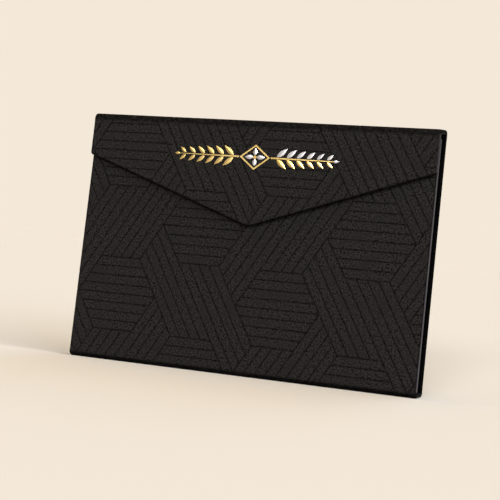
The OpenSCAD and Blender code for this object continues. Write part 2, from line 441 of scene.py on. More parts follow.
def case_rim():
    """Edge of the case's paper: up one side, over the front panel's top and down."""
    side, top, small = HALF_W - CORNER_R, END_S - CORNER_R, CORNER_R - RIM
    return [
        (FLAT_X, BACK_LOW, 1, 0),
        *arc((side, top), small, 0, 90, CORNER_POINTS),
        *arc((-side, top), small, 90, 180, CORNER_POINTS),
        (-FLAT_X, BACK_LOW, -1, 0),
    ]


def flap_rim():
    """Edge of the flap's paper: down one side, round the pointed end and up."""
    side, corner, small = HALF_W - CORNER_R, FLAP_SIDE_H + CORNER_R - FLAP_TIP_H, CORNER_R - RIM
    lean = math.degrees(flap_slope())
    return [
        (-FLAT_X, FLAP_END, -1, 0),
        *arc((-side, corner), small, 180, 270 - lean, CORNER_POINTS),
        *arc((0, FLAP_TIP_R), FLAP_TIP_R - RIM, 270 - lean, 270 + lean, TIP_POINTS),
        *arc((side, corner), small, 270 + lean, 360, CORNER_POINTS),
        (FLAT_X, FLAP_END, 1, 0),
    ]


def flap_edge(inset):
    """The flap's lower edges moved inwards, with a sharp tip, from left to right."""
    side = HALF_W - inset
    apex = FLAP_TIP_R - (FLAP_TIP_R - inset) / math.cos(flap_slope())
    shoulder = apex + side * math.tan(flap_slope())
    return [(-side, shoulder), (0, apex), (side, shoulder)]


# Meshes

CUT_MERGE = 2e-4
ON_RIM = 2e-3
RIM_STEPS = 10
RIM_SAMPLE = 0.5
LEAST_LEAN = 1e-3
SHEET_UNIT = 100
SHARP_EDGE = math.radians(50)
FACE_WEIGHT = 90


def triangulate(outline, cuts):
    """Points and triangles of an area, cut along lines."""
    points = [Vector(p[:2]) for p in outline] + [Vector(p) for cut in cuts for p in cut]
    n = len(outline)
    edges = [(n + 2 * i, n + 2 * i + 1) for i in range(len(cuts))]
    verts, _, faces, _, _, inside = delaunay_2d_cdt(
        points, edges, [list(range(n))], 0, CUT_MERGE
    )
    kept = [f for f, origin in zip(faces, inside) if origin]
    used = sorted({i for f in kept for i in f})
    new = {old: i for i, old in enumerate(used)}
    return np.array([verts[i][:] for i in used]), [[new[i] for i in f] for f in kept]


def sides(face):
    """Pairs of neighbours round a closed list."""
    return list(zip(face, face[1:] + face[:1]))


def border(faces):
    """Edges that only one face has, the way that they run round it."""
    edges = dict.fromkeys(edge for face in faces for edge in sides(face))
    return [(a, b) for a, b in edges if (b, a) not in edges]


def rim_stations(points, faces, rim):
    """Vertices of a patch that lie on a rim, in order, with their outward directions."""
    rim = np.array(rim)
    lengths = np.linalg.norm(np.diff(rim[:, :2], axis=0), axis=1)
    before = np.concatenate([[0], np.cumsum(lengths)])
    found = []
    for i in sorted({i for edge in border(faces) for i in edge}):
        best = None
        for k, length in enumerate(lengths):
            a, b = rim[k, :2], rim[k + 1, :2]
            t = min(1, max(0, np.dot(points[i] - a, b - a) / length**2))
            gap = np.linalg.norm(points[i] - a - t * (b - a))
            if best is None or gap < best[0] - SAME_POINT:
                normal = rim[k, 2:] * (1 - t) + rim[k + 1, 2:] * t
                best = (gap, before[k] + t * length, unit(normal))
        if best[0] < ON_RIM:
            found.append((best[1], i, best[2]))
    found.sort(key=lambda f: f[0])
    return [f[1] for f in found], np.array([f[2] for f in found])


def flange_width(at, normals, rim):
    """Width of the turned-in paper, mitred where two edges meet."""
    dense = []
    for a, b in zip(rim, rim[1:]):
        n = max(1, int(math.dist(a[:2], b[:2]) / RIM_SAMPLE))
        dense += [np.add(a[:2], np.subtract(b[:2], a[:2]) * k / n) for k in range(n + 1)]
    gap = at[:, None] - np.array(dense)[None]
    lean = (gap * normals[:, None]).sum(2)
    ball = (gap**2).sum(2) / (2 * np.maximum(lean, LEAST_LEAN))
    return np.minimum(FLANGE, np.where(lean > LEAST_LEAN, ball, FLANGE).min(1))


class Shell:
    """One closed piece of paper, with what the material reads: shares of pressed tone with
    painted shade and of painted highlight, and places on the flat sheet."""

    def __init__(self):
        self.co, self.faces, self.flat = [], [], []
        self.pressed, self.painted_highlight = [], []

    def add(self, place, depth, pressed=0.0, painted_highlight=0.0, flat=None):
        """Vertices at places on the sheet and a depth, and their numbers."""
        first = len(self.co)
        self.co += on_sheet(place[:, 0], place[:, 1], depth).tolist()
        self.pressed += np.broadcast_to(pressed, len(place)).tolist()
        self.painted_highlight += np.broadcast_to(painted_highlight, len(place)).tolist()
        self.flat += (place if flat is None else flat).tolist()
        return list(range(first, len(self.co)))

    def build(self, name):
        obj = add_mesh(name, self.co, self.faces)
        mesh = obj.data
        for label, values in (("pressed", self.pressed), ("painted_highlight", self.painted_highlight)):
            attribute = mesh.attributes.new(label, "FLOAT", "POINT")
            attribute.data.foreach_set("value", np.array(values, np.float32))
        flat = np.array(self.flat) / SHEET_UNIT
        uv = mesh.uv_layers.new(name="sheet")
        corners = [i for face in self.faces for i in face]
        uv.data.foreach_set("uv", flat[corners].astype(np.float32).ravel())
        return soften(obj)


def add_object(name, data):
    obj = bpy.data.objects.new(name, data)
    bpy.context.scene.collection.objects.link(obj)
    return obj


def add_mesh(name, points, faces):
    mesh = bpy.data.meshes.new(name)
    mesh.from_pydata(points, [], faces)
    return add_object(name, mesh)


def soften(obj):
    """Closes the cut ends of a paper and shades it smoothly, with its hard edges kept."""
    bm = bmesh.new()
    bm.from_mesh(obj.data)
    ends = [e for e in bm.edges if e.is_boundary]
    if ends:
        bmesh.ops.holes_fill(bm, edges=ends, sides=0)
    bm.normal_update()
    for e in bm.edges:
        e.smooth = e.calc_face_angle(0) <= SHARP_EDGE
    bm.to_mesh(obj.data)
    bm.free()
    obj.data.shade_smooth()
    weighted = obj.modifiers.new("even shading", "WEIGHTED_NORMAL")
    weighted.keep_sharp = True
    weighted.weight = FACE_WEIGHT
    return obj


def paint(obj, mat):
    obj.data.materials.clear()
    obj.data.materials.append(mat)
    return obj


# Materials


def new_material(name):
    mat = bpy.data.materials.new(name)
    mat.use_nodes = True
    tree = mat.node_tree
    return mat, tree, tree.nodes["Principled BSDF"]


def fix(node, socket, value):
    node.inputs[socket].default_value = value


def calc(tree, operation, *values):
    node = tree.nodes.new("ShaderNodeMath")
    node.operation = operation
    for socket, value in zip(node.inputs, values):
        if isinstance(value, (int, float)):
            socket.default_value = value
        else:
            tree.links.new(value, socket)
    return node.outputs["Value"]


def noise(tree, place, scale, detail, distortion=0.0):
    node = tree.nodes.new("ShaderNodeTexNoise")
    fix(node, "Scale", scale)
    fix(node, "Detail", detail)
    fix(node, "Distortion", distortion)
    tree.links.new(place, node.inputs["Vector"])
    return node.outputs["Fac"]


def ramp(tree, source, tones, span):
    """Colour between two tones, driven by a texture over a span of its values."""
    node = tree.nodes.new("ShaderNodeValToRGB")
    for element, tone, position in zip(node.color_ramp.elements, tones, span):
        element.position = position
        element.color = (*tone, 1)
    tree.links.new(source, node.inputs["Fac"])
    return node.outputs["Color"]


def blend_colour(tree, share, first, second):
    mix = tree.nodes.new("ShaderNodeMix")
    mix.data_type = "RGBA"
    tree.links.new(share, mix.inputs["Factor"])
    tree.links.new(first, mix.inputs["A"])
    fix(mix, "B", (*second, 1))
    return mix.outputs["Result"]


def read_attribute(tree, name, output="Fac"):
    node = tree.nodes.new("ShaderNodeAttribute")
    node.attribute_name = name
    return node.outputs[output]


def add_bump(tree, shader, height, strength, distance):
    """Small relief in the shading, its height given in metres."""
    bump = tree.nodes.new("ShaderNodeBump")
    fix(bump, "Strength", strength)
    fix(bump, "Distance", distance)
    tree.links.new(height, bump.inputs["Height"])
    tree.links.new(bump.outputs["Normal"], shader.inputs["Normal"])


# Embossed paper: its two tones and the span of the grain between them, its tone in the
# grooves and in painted shade, and its painted highlight on the edges
PAPER_TONES = ((0.0036, 0.0034, 0.0031), (0.0222, 0.0207, 0.0190))
GRAIN_SPAN = (0.28, 0.60)
PAPER_PRESSED_AND_SHADE = (0.0006, 0.0005, 0.0004)
PAPER_PAINTED_HIGHLIGHT = (0.080, 0.074, 0.080)
# Scale and detail of its flecks, of the clouds in which they are stronger, and of the
# patches in which a groove comes and goes
FLECKS, CLOUDS, PATCHES = (190, 2), (16, 3), (95, 2)
PEBBLE_SCALE, PEBBLE_SMOOTHNESS = 230, 0.35
# Factor and offset that make the clouds' tone and the flecks' strength, and its least
CLOUD_TONE, FLECK_STRENGTH, LEAST_STRENGTH = (0.12, 0.44), (5.0, -1.4), 0.35
PATCH_SWING = 7.0
PAPER_ROUGHNESS, HIGHLIGHT_ROUGHNESS, PAPER_GLOSS = 0.6, -0.22, 0.03
PAPER_BUMP = (0.9, 0.0002)


def uneven(tree, pressed, place):
    """Share of pressed tone and painted shade that comes and goes in patches along a groove, and stays
    full where it is 1.
    """
    swing = calc(tree, "SUBTRACT", noise(tree, place, *PATCHES), 0.5)
    reach = calc(tree, "MULTIPLY", pressed, calc(tree, "SUBTRACT", 1.0, pressed))
    swing = calc(tree, "MULTIPLY", swing, reach)
    pressed = calc(tree, "MULTIPLY_ADD", swing, PATCH_SWING, pressed)
    pressed.node.use_clamp = True
    return pressed


def embossed_paper():
    """Black leather-grained paper: pebbles with flecks on them, darker in the pressed grooves
    and in painted shade on folds and edges, lighter and smoother in the painted highlight on
    the turned edges."""
    mat, tree, shader = new_material("embossed_paper")
    uv = tree.nodes.new("ShaderNodeUVMap")
    uv.uv_map = "sheet"
    place = uv.outputs["UV"]
    pebble = tree.nodes.new("ShaderNodeTexVoronoi")
    pebble.feature = "SMOOTH_F1"
    fix(pebble, "Scale", PEBBLE_SCALE)
    fix(pebble, "Smoothness", PEBBLE_SMOOTHNESS)
    tree.links.new(place, pebble.inputs["Vector"])
    fleck, cloud = noise(tree, place, *FLECKS), noise(tree, place, *CLOUDS)
    spread = calc(tree, "MULTIPLY_ADD", cloud, *CLOUD_TONE)
    strength = calc(tree, "MULTIPLY_ADD", cloud, *FLECK_STRENGTH)
    strength = calc(tree, "MAXIMUM", strength, LEAST_STRENGTH)
    grain = calc(tree, "SUBTRACT", fleck, 0.5)
    grain = calc(tree, "MULTIPLY_ADD", grain, strength, spread)
    pressed = uneven(tree, read_attribute(tree, "pressed"), place)
    painted_highlight = read_attribute(tree, "painted_highlight")
    tone = ramp(tree, grain, PAPER_TONES, GRAIN_SPAN)
    # Darker where pressed and in painted shade, lighter in the painted highlight
    tone = blend_colour(tree, pressed, tone, PAPER_PRESSED_AND_SHADE)
    tone = blend_colour(tree, painted_highlight, tone, PAPER_PAINTED_HIGHLIGHT)
    tree.links.new(tone, shader.inputs["Base Color"])
    rough = calc(tree, "MULTIPLY_ADD", painted_highlight, HIGHLIGHT_ROUGHNESS, PAPER_ROUGHNESS)
    tree.links.new(rough, shader.inputs["Roughness"])
    fix(shader, "Specular IOR Level", PAPER_GLOSS)
    height = calc(tree, "ADD", pebble.outputs["Distance"], fleck)
    add_bump(tree, shader, height, *PAPER_BUMP)
    return mat


def mottled(name, tones, span, roughness, bump, **texture):
    """Material in two tones of one noise, with a slight relief from it."""
    mat, tree, shader = new_material(name)
    place = tree.nodes.new("ShaderNodeTexCoord").outputs["Object"]
    height = noise(tree, place, **texture)
    tree.links.new(ramp(tree, height, tones, span), shader.inputs["Base Color"])
    fix(shader, "Roughness", roughness)
    add_bump(tree, shader, height, *bump)
    return mat, shader


def plain_paper(name, tones, scale, roughness):
    """Uncoated paper: fine fibres in two close tones and a slight tooth."""
    fibres = {"scale": scale, "detail": 5, "distortion": 0.6}
    mat, shader = mottled(name, tones, (0.3, 0.75), roughness, (0.4, 0.0001), **fibres)
    fix(shader, "Specular IOR Level", 0.12)
    return mat


def metal(name, tones, scale, roughness):
    """Thin metal, a little cloudy."""
    clouds = {"scale": scale, "detail": 4}
    mat, shader = mottled(name, tones, (0.3, 0.7), roughness, (0.25, 0.00005), **clouds)
    fix(shader, "Metallic", 1)
    return mat


COVER = embossed_paper()
LINING = plain_paper(
    "lining_paper", ((0.010, 0.0095, 0.0095), (0.016, 0.015, 0.015)), scale=2600, roughness=0.7
)
BOARD = plain_paper("grey_board", ((0.13, 0.12, 0.105), (0.30, 0.28, 0.25)), scale=1800, roughness=0.85)
# Near black gusset paper: painted shade for the recess at the sides of the case
GUSSET_PAINTED_SHADE = plain_paper(
    "gusset_paper", ((0.0012, 0.0011, 0.0010), (0.0024, 0.0022, 0.0021)), scale=2600, roughness=0.85
)
DISC = metal("disc_metal", ((0.45, 0.45, 0.47), (0.62, 0.62, 0.64)), scale=900, roughness=0.35)
GOLD = metal("gold_foil", ((0.62, 0.42, 0.12), (0.93, 0.72, 0.28)), scale=220, roughness=0.28)
SILVER = metal("silver_foil", ((0.62, 0.62, 0.63), (0.92, 0.92, 0.92)), scale=220, roughness=0.26)


# Outer papers


def turn_in(shell, rim, at, normals, first, dip, dark):
    """Paper turned round an edge: over the rim, in under the panel, and back along its
    inner side. It goes out from a first row of vertices, and gives the last one."""
    width = flange_width(at, normals, rim)
    thick = wrap_thickness(at[:, 1])
    highlight_share = side_highlight_share(normals, at[:, 1])
    rows = [first]
    for k in range(1, RIM_STEPS + 1):
        a = math.pi * k / RIM_STEPS
        left = max(0.0, math.cos(a))
        groove = dip * GROOVE_DEPTH * left
        place = at + normals * ((RIM - groove) * math.sin(a))[:, None]
        depth = thick / 2 * (1 - math.cos(a)) + groove * math.cos(a)
        # Painted highlight and painted shade round the edge; the face's pressed tone and painted shade
        # run on to the rim
        painted_highlight, pressed = edge_tones(a, highlight_share, at[:, 1] > FRONT_S)
        pressed = np.maximum(dark * left, pressed)
        rows.append(shell.add(place, depth, pressed, painted_highlight, at + normals * (RIM * a)))
    for back, under in ((width, 0), (width, PAPER_T), (0 * width, PAPER_T)):
        flat = at + normals * (RIM * math.pi + back[:, None])
        rows.append(shell.add(at - normals * back[:, None], thick - under, flat=flat))
    for k in range(RIM_STEPS - 1, -1, -1):
        a = math.pi * k / RIM_STEPS
        place = at + normals * (RIM - PAPER_T) * math.sin(a)
        depth = thick / 2 - (thick / 2 - PAPER_T) * math.cos(a)
        rows.append(shell.add(place, depth, flat=at + normals * (RIM * a)))
    for low, high in zip(rows, rows[1:]):
        shell.faces += zip(low, high, high[1:], low[1:])
    return rows[-1]


def add_inner_face(shell, outline, ends, cuts):
    """Inner side of the paper, joined to the last rows of its turned edges."""
    points, triangles = triangulate(outline, cuts)
    known = {tuple(np.round(p, 2)): i for p, i in zip(outline, ends)}
    numbers = []
    for p in points:
        i = known.get(tuple(np.round(p, 2)))
        numbers.append(shell.add(p[None], PAPER_T)[0] if i is None else i)
    for t in triangles:
        face = [numbers[i] for i in reversed(t)]
        if len(set(face)) == len(face):
            shell.faces.append(face)


def wrapped_paper(name, outline, rims, runs, low, high):
    """One closed shell of paper: embossed face, rounded edges, turned-in paper, inner face."""
    shell = Shell()
    across = fold_cuts(low, high)
    points, triangles = triangulate(outline, groove_cuts(runs, low, high) + across)
    share = groove_share(points, runs)
    # Grooves pressed dark with painted shade in them, and painted shade along the folds
    pressed = np.maximum(share * GROOVE_SHADE, fold_share(points[:, 1], FOLD_PAINTED_SHADES))
    face = shell.add(points, share * GROOVE_DEPTH, pressed)
    shell.faces += [[face[i] for i in t] for t in triangles]
    edge, ends = [], []
    for rim in rims:
        stations, normals = rim_stations(points, triangles, rim)
        at, first = points[stations], [face[i] for i in stations]
        edge += at.tolist()
        ends += turn_in(shell, rim, at, normals, first, share[stations], pressed[stations])
    add_inner_face(shell, edge, ends, across)
    return shell.build(name)


def wrapped_band(name, runs, low, high):
    """A plain length of the sheet from one side edge to the other."""
    return wrapped_paper(name, rectangle(low, high), side_rims(low, high), runs, low, high)


def turn_with_folds(back_fold, front_fold):
    """Bakes the placement of two pieces at the folds into their meshes. The ends of the panels' inner
    faces are worked out but not used.
    """
    back, spine_high, spine_low, flap = (
        tuple(on_sheet([0.0], [s], [PANEL_CORE])[0])
        for s in (BACK_LOW, SPINE_HIGH, SPINE_LOW, FLAP_END)
    )
    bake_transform(back_fold)
    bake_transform(front_fold)


def outer_papers():
    lift = FRONT_S - FOLD_R  # from a height on the front to a place on the sheet
    dx, dz = FLAP_SHIFT
    case_runs = groove_runs(BACK_S - lift, END_S - lift, 0, lift)
    flap_runs = groove_runs(FLAP_S + FLAP_TIP_H, FOLD2_S + FLAP_TIP_H, dx, dz - FLAP_TIP_H)
    fold_runs = clip_runs(flap_runs, SPINE_S, FOLD2_S) + clip_runs(case_runs, BACK_S, END_S)
    rim = case_rim()
    case = wrapped_paper("case_paper", rim, [rim], case_runs, BACK_LOW, END_S)
    back_fold = wrapped_band("back_fold_paper", fold_runs, SPINE_HIGH, BACK_LOW)
    spine = wrapped_band("spine_paper", flap_runs, SPINE_LOW, SPINE_HIGH)
    front_fold = wrapped_band("front_fold_paper", flap_runs, FLAP_END, SPINE_LOW)
    rim = flap_rim()
    flap = wrapped_paper("flap_paper", rim, [rim], flap_runs, FLAP_S, FLAP_END)
    for obj in (case, back_fold, spine, front_fold, flap):
        paint(obj, COVER)
    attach(case, "case")
    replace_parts(case, "front_cover", "bottom_cover", "back_cover")
    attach(spine, "spine")
    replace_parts(spine, "spine_cover")
    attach(flap, "flap")
    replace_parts(flap, "flap_cover")
    turn_with_folds(back_fold, front_fold)


outer_papers()


# Linings: where they are cut beside the turned-in paper's edge, which they sink over,
# and how far the dips at the folds reach

DIP_CUTS = (-0.5, -0.3, -0.1, 0.1, 0.3, 0.5)
JOINT_REACH = 1.0


def window_cuts(window):
    """Lines beside each side of the window between the turned-in edges."""
    cuts = []
    for a, b in sides(window):
        along = unit(np.subtract(b, a))
        out = np.array((along[1], -along[0]))
        for off in DIP_CUTS:
            cuts.append((np.add(a, out * off - along), np.add(b, out * off + along)))
    return cuts


def outside_by(points, polygon):
    """How far each point lies outside a convex polygon given anticlockwise."""
    gaps = []
    for a, b in sides(polygon):
        along = unit(np.subtract(b, a))
        gaps.append((points[:, 0] - a[0]) * along[1] - (points[:, 1] - a[1]) * along[0])
    return np.max(gaps, axis=0)


def lining_paper(name, outline, window):
    """Lining glued inside a panel. It sinks on to the board within the turned-in
    edges, and into the joints at the folds."""
    shell = Shell()
    low, high = min(p[1] for p in outline), max(p[1] for p in outline)
    points, triangles = triangulate(outline, window_cuts(window) + fold_cuts(low, high))
    sunk = 1 - slope(outside_by(points, window), DIP_CUTS[0], DIP_CUTS[-1])
    for fold in (FRONT_FOLD_AT, BACK_FOLD_AT):
        start, end = fold_ends(fold)
        beside = np.maximum(start - points[:, 1], points[:, 1] - end)
        sunk = np.maximum(sunk, 1 - smooth(beside / JOINT_REACH))
    depth = PANEL_T - PAPER_T * sunk
    glued = shell.add(points, depth - LINER_T)
    seen = shell.add(points, depth)
    for t in triangles:
        shell.faces.append([glued[i] for i in t])
        shell.faces.append([seen[i] for i in reversed(t)])
    for a, b in border(triangles):
        shell.faces.append([glued[b], glued[a], seen[a], seen[b]])
    return shell.build(name)


def linings():
    far = TURN_IN - LINER_MARGIN
    side, inner = HALF_W - LINER_MARGIN, HALF_W - TURN_IN
    window = rectangle(FLAP_S - far, FOLD3_S + far, inner)
    case = lining_paper("case_lining", rectangle(BACK_LOW, FOLD3_S, side), window)
    back_fold = lining_paper("back_fold_lining", rectangle(SPINE_HIGH, BACK_LOW, side), window)
    spine = lining_paper("spine_lining", rectangle(SPINE_LOW, SPINE_HIGH, side), window)
    front_fold = lining_paper("front_fold_lining", rectangle(FLAP_END, SPINE_LOW, side), window)
    outline = [*flap_edge(LINER_MARGIN), (side, FLAP_END), (-side, FLAP_END)]
    window = [*flap_edge(TURN_IN), (inner, FOLD3_S), (-inner, FOLD3_S)]
    flap = lining_paper("flap_lining", outline, window)
    for obj in (case, back_fold, spine, front_fold, flap):
        paint(obj, LINING)
    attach(case, "case")
    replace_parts(case, "back_liner")
    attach(spine, "spine")
    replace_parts(spine, "spine_liner")
    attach(flap, "flap")
    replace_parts(flap, "flap_liner")
    turn_with_folds(back_fold, front_fold)


linings()


# Gussets: thickness, radius of the creases and the outer ones' place. The inner crease
# lies further in, and the strip starts above the bottom and ends below the top.

GUSSET_T = 0.25
CREASE_R = 0.4
GUSSET_X = HALF_W - 1.5
GUSSET_IN, GUSSET_TAB = 4, 7
GUSSET_FOOT, GUSSET_TOP = PANEL_T + 0.8, FRONT_TOP - 1.2
GUSSET_FRONT_Y = FRONT_Y + PANEL_T + GUSSET_T / 2
GUSSET_BACK_Y = BACK_Y - PANEL_T - GUSSET_T / 2
# How much the inner crease stands out at its ends and bends in half way up, and the depth
# and rate of a slight wave on that
CREASE_OUT, CREASE_BEND, CREASE_WAVE, CREASE_RATE = 0.15, 0.3, 0.1, 9
# Bow of the walls between the creases, as its least and the rest that comes half way up
WALL_BOW, BOW_SHARES = 0.12, (0.4, 0.6)
CREASE_STEPS, WALL_STEPS, LEVELS = 6, 8, 22
SHORT_STEP = 0.5
TAB_WAY = 0.95


def creased_path(height):
    """Middle line of the folded strip in plan, at a share of its height. The creases are
    round and the walls between them bow a little."""
    wave = math.sin(math.pi * height)
    inner = GUSSET_X - GUSSET_IN + CREASE_OUT - CREASE_BEND * wave
    inner += CREASE_WAVE * math.sin(CREASE_RATE * height)
    corners = np.array([
        (GUSSET_X - GUSSET_TAB, GUSSET_FRONT_Y),
        (GUSSET_X, GUSSET_FRONT_Y),
        (inner, (GUSSET_FRONT_Y + GUSSET_BACK_Y) / 2),
        (GUSSET_X, GUSSET_BACK_Y),
        (GUSSET_X - GUSSET_TAB, GUSSET_BACK_Y),
    ])
    path = [corners[0]]
    for before, at, after in zip(corners, corners[1:], corners[2:]):
        back, ahead = unit(before - at), unit(after - at)
        half = math.acos(back @ ahead) / 2
        reach = CREASE_R / math.tan(half)
        centre = at + unit(back + ahead) * CREASE_R / math.sin(half)
        first, last = at + back * reach - centre, at + ahead * reach - centre
        start = math.atan2(first[1], first[0])
        end = start + math.atan2(first[0] * last[1] - first[1] * last[0], first @ last)
        bend = arc(centre, CREASE_R, math.degrees(start), math.degrees(end), CREASE_STEPS + 1)
        path += [np.array(p[:2]) for p in bend]
    path.append(corners[-1])
    dense = []
    for a, b in zip(path, path[1:]):
        out = unit(np.array([b[1] - a[1], a[0] - b[0]]))
        is_wall = abs(out[1]) < TAB_WAY
        bow = WALL_BOW * (BOW_SHARES[0] + BOW_SHARES[1] * wave) if is_wall else 0.0
        steps = 1 if math.dist(a, b) < SHORT_STEP else WALL_STEPS
        for t in np.arange(steps) / steps:
            dense.append(a + (b - a) * t + out * bow * math.sin(math.pi * t))
    return np.array([*dense, path[-1]])


def gusset_paper(name, side):
    rows = []
    for level in range(LEVELS + 1):
        height = level / LEVELS
        path = creased_path(height)
        along = np.gradient(path, axis=0)
        along /= np.linalg.norm(along, axis=1)[:, None]
        out = np.stack([along[:, 1], -along[:, 0]], 1) * GUSSET_T / 2
        loop = np.concatenate([path + out, (path - out)[::-1]])
        z = GUSSET_FOOT + (GUSSET_TOP - GUSSET_FOOT) * height
        rows.append([(side * x * MM, y * MM, z * MM) for x, y in loop])
    n = len(rows[0])
    faces = [
        [k * n + i, k * n + (i + 1) % n, (k + 1) * n + (i + 1) % n, (k + 1) * n + i]
        for k in range(LEVELS)
        for i in range(n)
    ]
    for i in range(n // 2 - 1):
        cap = [i, i + 1, n - 2 - i, n - 1 - i]
        faces.append(cap[::-1])
        faces.append([LEVELS * n + c for c in cap])
    if side < 0:
        faces = [f[::-1] for f in faces]
    obj = paint(soften(add_mesh(name, [p for row in rows for p in row], faces)), GUSSET_PAINTED_SHADE)
    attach(obj, "case")
    return obj


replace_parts(gusset_paper("right_gusset_paper", 1), "right_gusset")
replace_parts(gusset_paper("left_gusset_paper", -1), "left_gusset")


# Foil ornament on the flap: how far it stands off the paper, how much more at a leaf's
# midrib, and how deep it is pressed in

FOIL_RISE, FOIL_RIDGE, FOIL_SINK = 0.02, 0.05, 0.14
# Sprig: height of its middle and half its length, half sizes of its lozenge, and widths
# of the lines and of a stem's end
SPRIG_Z, SPRIG_HALF = 63.0, 23.6
LOZENGE = (4.6, 3.7)
FOIL_LINE, STEM_END = 0.42, 0.18
# Lengths of the level and upright petals, their width and distance from the middle, and
# the dot there
PETALS, PETAL_WIDTH, PETAL_FOOT, FLOWER_DOT = (2.5, 2.1), 1.25, 0.55, 0.5
# Beside the lozenge: distance and radius of a dot, and where the stem starts
STEM_DOT, STEM_DOT_R, STEM_START = 0.55, 0.3, 0.9
# Pairs of leaves: distances from the lozenge and from the stem's end, length and width
# of the first, what the last has less, and their lean
LEAF_PAIRS, LEAVES_FROM, LEAVES_TO = 6, 2.0, 2.2
LEAF_SIZE, LEAF_LESS, LEAF_LEAN = (4.0, 1.35), (1.6, 0.45), 42
LEAF_OFF = FOIL_LINE * 0.75
# Last leaf: overlap with the stem, length and width
TIP_LAP, TIP_SIZE = 0.4, (1.6, 0.8)
# A leaf is widest a little before its middle.
LEAF_STEPS, LEAF_BELLY = 8, 0.8
DOT_POINTS = 20


class Foil:
    """Flat pressed shapes that share one mesh, placed from the sprig's middle."""

    def __init__(self):
        self.co, self.faces = [], []

    def point(self, x, z, y):
        self.co.append((x * MM, (FLAP_Y + y) * MM, (SPRIG_Z + z) * MM))
        return len(self.co) - 1

    def plate(self, outline, ridge=None):
        """Thin plate over an outline in X and Z, anticlockwise from the front. A ridge
        joins its first point to the one half way round."""
        face = [self.point(x, z, -FOIL_RISE) for x, z in outline]
        back = [self.point(x, z, FOIL_SINK) for x, z in outline]
        self.faces += [[a, c, d, b] for (a, b), (c, d) in zip(sides(face), sides(back))]
        self.faces.append(back[::-1])
        if ridge is None:
            self.faces.append(face)
            return
        half = len(face) // 2
        midrib = [face[0]]
        for i in range(1, half):
            x, z = np.add(outline[i], outline[-i]) / 2
            midrib.append(self.point(x, z, -FOIL_RISE - ridge * math.sin(math.pi * i / half)))
        midrib.append(face[half])
        for row, turn in ((face[: half + 1], 1), (face[:1] + face[: half - 1 : -1], -1)):
            for i in range(half):
                corners = dict.fromkeys([row[i], row[i + 1], midrib[i + 1], midrib[i]])
                self.faces.append(list(corners)[::turn])

    def bar(self, a, b, width_a, width_b):
        """Level line with a width at either end."""
        up = math.copysign(0.5, b - a)
        self.plate([(a, -up * width_a), (b, -up * width_b), (b, up * width_b), (a, up * width_a)])

    def leaf(self, foot, angle, length, width):
        """Pointed leaf with a raised midrib, from its foot towards an angle in degrees."""
        ahead, left = ways(math.radians(angle))
        lower, upper = [], []
        for k in range(1, LEAF_STEPS):
            t = k / LEAF_STEPS
            half = left * (width / 2 * math.sin(math.pi * t**LEAF_BELLY))
            rib = foot + ahead * length * t
            lower.append(rib - half)
            upper.append(rib + half)
        self.plate([foot, *lower, foot + ahead * length, *upper[::-1]], FOIL_RIDGE)

    def dot(self, x, radius):
        turns = [2 * math.pi * k / DOT_POINTS for k in range(DOT_POINTS)]
        self.plate([(x + radius * math.cos(a), radius * math.sin(a)) for a in turns])

    def build(self, name, mat):
        obj = paint(add_mesh(name, self.co, self.faces), mat)
        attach(obj, "flap")


def foil_flower(gold, silver):
    """Lozenge with a flower in it."""
    a, b = LOZENGE
    share = 1 - FOIL_LINE / (a * b / math.hypot(a, b))
    for start, end in sides([(a, 0), (0, b), (-a, 0), (0, -b)]):
        gold.plate([start, end, np.multiply(end, share), np.multiply(start, share)])
    for k in range(4):
        silver.leaf(ways(math.pi / 2 * k)[0] * PETAL_FOOT, 90 * k, PETALS[k % 2], PETAL_WIDTH)
    gold.dot(0, FLOWER_DOT)


def foil_stem(side, gold, silver):
    """Leafed stem to one side of the lozenge. The right one has silver upper leaves."""
    right, corner = side > 0, LOZENGE[0]
    gold.dot(side * (corner + STEM_DOT), STEM_DOT_R)
    gold.bar(side * (corner + STEM_START), side * SPRIG_HALF, FOIL_LINE, STEM_END)
    from_x, to_x = corner + LEAVES_FROM, SPRIG_HALF - LEAVES_TO
    for t in np.linspace(0, 1, LEAF_PAIRS):
        length, width = np.subtract(LEAF_SIZE, np.multiply(LEAF_LESS, t))
        for up in (1, -1):
            foot = np.array((side * (from_x + (to_x - from_x) * t), up * LEAF_OFF))
            lean = up * LEAF_LEAN if right else 180 - up * LEAF_LEAN
            foil = silver if right and up > 0 else gold
            foil.leaf(foot, lean, length, width)
    tip = silver if right else gold
    tip.leaf(np.array((side * (SPRIG_HALF - TIP_LAP), 0)), 0 if right else 180, *TIP_SIZE)


def foil_ornament():
    """A plain sprig: a lozenge with a flower in it and a leafed stem to either side."""
    gold, silver = Foil(), Foil()
    foil_flower(gold, silver)
    for side in (-1, 1):
        foil_stem(side, gold, silver)
    gold.build("foil_gold", GOLD)
    silver.build("foil_silver", SILVER)


foil_ornament()

CAD_FINISH = {
    "front_board": BOARD, "bottom_board": BOARD, "back_board": BOARD,
    "spine_board": BOARD, "flap_board": BOARD,
    "front_liner": LINING, "bottom_liner": LINING,
    "front_steel_disc": DISC, "flap_magnet": DISC,
}
for node, finish in CAD_FINISH.items():
    paint(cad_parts[node], finish)


# Stage: the camera's place, where its right, up and back point, its lens, and how near
# and far it sees, in metres

CAMERA_PLACE = (90.47, -282.67, 14.98)
CAMERA_RIGHT = (0.94856, 0.29687, 0.11006)
CAMERA_UP = (-0.08286, -0.10274, 0.99125)
CAMERA_BACK = (0.30558, -0.94938, -0.07285)
CAMERA_LENS = 73.21
CAMERA_CLIP = (0.01, 20)

CREAM = np.array((0.905, 0.807, 0.687))
